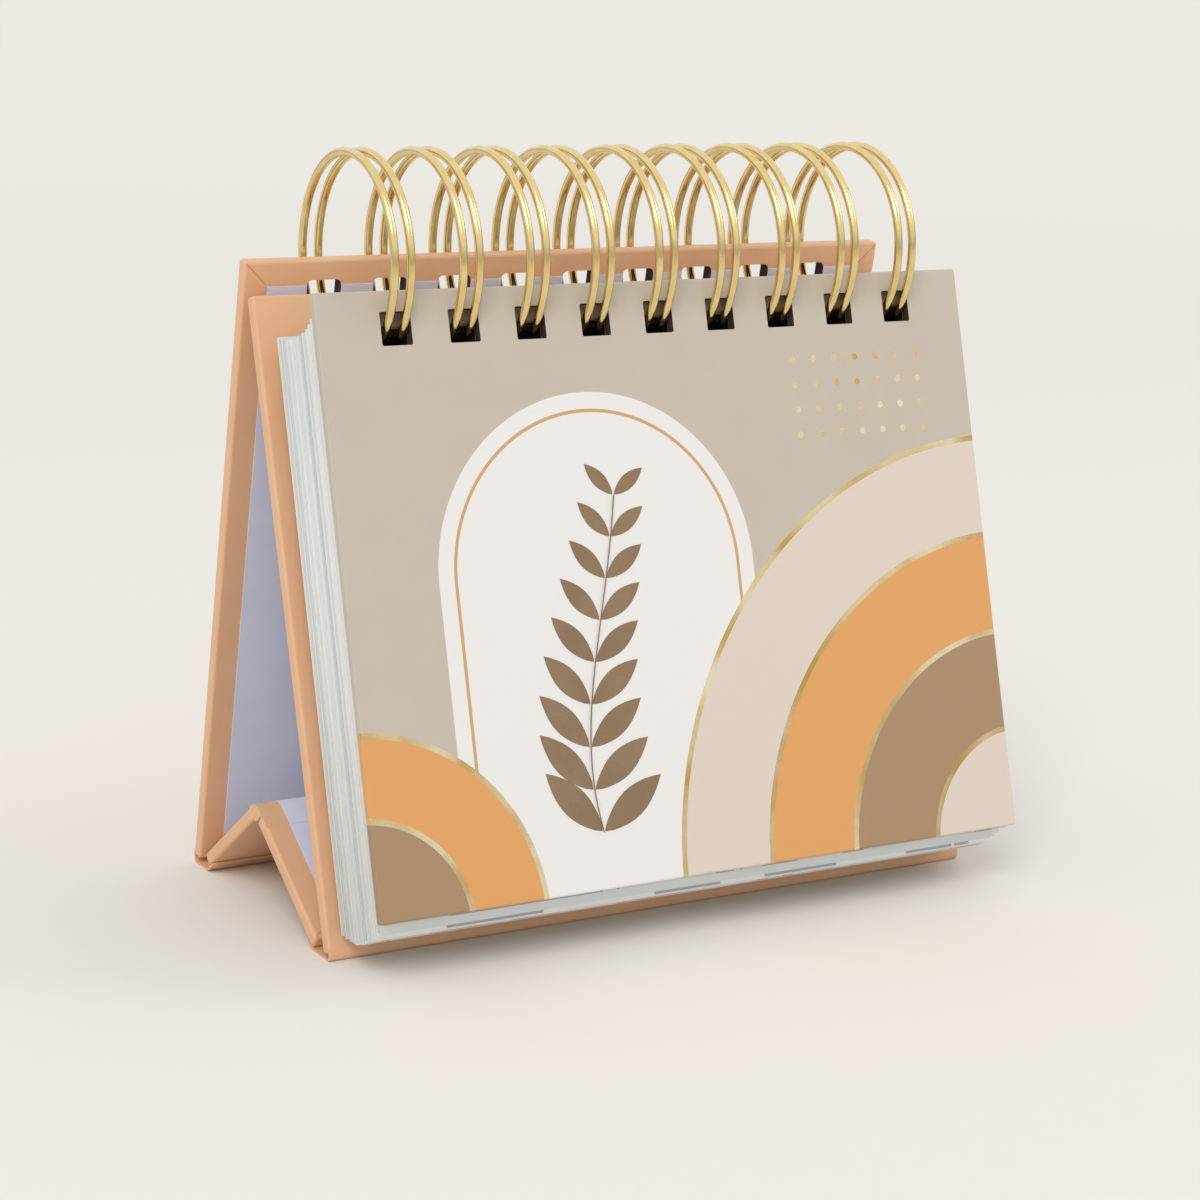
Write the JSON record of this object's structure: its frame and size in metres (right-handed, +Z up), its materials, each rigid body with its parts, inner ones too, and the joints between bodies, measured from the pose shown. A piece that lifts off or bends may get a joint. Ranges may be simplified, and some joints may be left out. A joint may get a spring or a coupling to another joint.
{
  "type": "desk day calendar",
  "caption": "Flip day calendar on a folding easel: a hard cover and a thick stack of leaves hang from a twin-loop wire binding in front of hinged board panels.",
  "frame": {"origin": "under the middle of the calendar, on the surface that it stands on", "axes": "+Z up, -Y towards the reader, X along the wire binding"},
  "size_m": [0.132, 0.0762, 0.1335],
  "materials": {
    "wire": "polished gold-coloured plating on round wire",
    "peach_paper": "matt coated paper wrapped round board",
    "cover_print": "matt laminated printed paper",
    "liner": "plain uncoated white paper",
    "greyboard": "grey binder's board",
    "page": "cut edges of stacked coated paper"
  },
  "bodies": {
    "easel_front": {"front_wrap": "peach_paper", "front_board": "greyboard", "front_liner": "liner", "front_hinge_strip": "peach_paper", "wire_binding": "wire"},
    "easel_rear": {"rear_wrap": "peach_paper", "rear_board": "greyboard", "rear_liner": "liner", "rear_hinge_strip": "peach_paper"},
    "base_front": {"base_front_wrap": "peach_paper", "base_front_board": "greyboard", "base_front_liner": "liner"},
    "base_rear": {"base_rear_wrap": "peach_paper", "base_rear_board": "greyboard", "base_rear_liner": "liner"},
    "rear_leaves": {"leaves_07": "page", "leaves_08": "page", "leaves_09": "page", "leaves_10": "page", "leaves_11": "page", "leaves_12": "page"},
    "front_leaves": {"leaves_01": "page", "leaves_02": "page", "leaves_03": "page", "leaves_04": "page", "leaves_05": "page", "leaves_06": "page"},
    "first_leaf": {"first_leaf": "page"},
    "cover": {"cover_wrap": "cover_print", "cover_board": "greyboard", "cover_liner": "liner"}
  },
  "joints": [
    {"name": "easel_fold", "type": "hinge", "parent": "easel_front", "child": "easel_rear", "pos_m": [0, 0.0092, 0.1108], "axis": [-1, 0, 0], "range_deg": [0, 19]},
    {"name": "base_front_fold", "type": "hinge", "parent": "easel_front", "child": "base_front", "pos_m": [0, -0.01731, 0.00117], "axis": [1, 0, 0], "range_deg": [0, 38.6]},
    {"name": "base_rear_fold", "type": "hinge", "parent": "easel_rear", "child": "base_rear", "pos_m": [0, 0.0349, 0.00166], "axis": [-1, 0, 0], "range_deg": [0, 43]},
    {"name": "rear_leaves_turn", "type": "hinge", "parent": "easel_front", "child": "rear_leaves", "pos_m": [0, 0.0051, 0.115], "axis": [-1, 0, 0], "range_deg": [0, 180]},
    {"name": "front_leaves_turn", "type": "hinge", "parent": "rear_leaves", "child": "front_leaves", "pos_m": [0, 0.0051, 0.115], "axis": [-1, 0, 0], "range_deg": [0, 182]},
    {"name": "first_leaf_turn", "type": "hinge", "parent": "front_leaves", "child": "first_leaf", "pos_m": [0, 0.0051, 0.115], "axis": [-1, 0, 0], "range_deg": [0, 184]},
    {"name": "cover_turn", "type": "hinge", "parent": "first_leaf", "child": "cover", "pos_m": [0, 0.0051, 0.115], "axis": [-1, 0, 0], "range_deg": [0, 188]}
  ],
  "couplings": [
    {"joint": "base_front_fold", "follows": "easel_fold", "ratio": 2.03},
    {"joint": "base_rear_fold", "follows": "easel_fold", "ratio": 2.26}
  ]
}
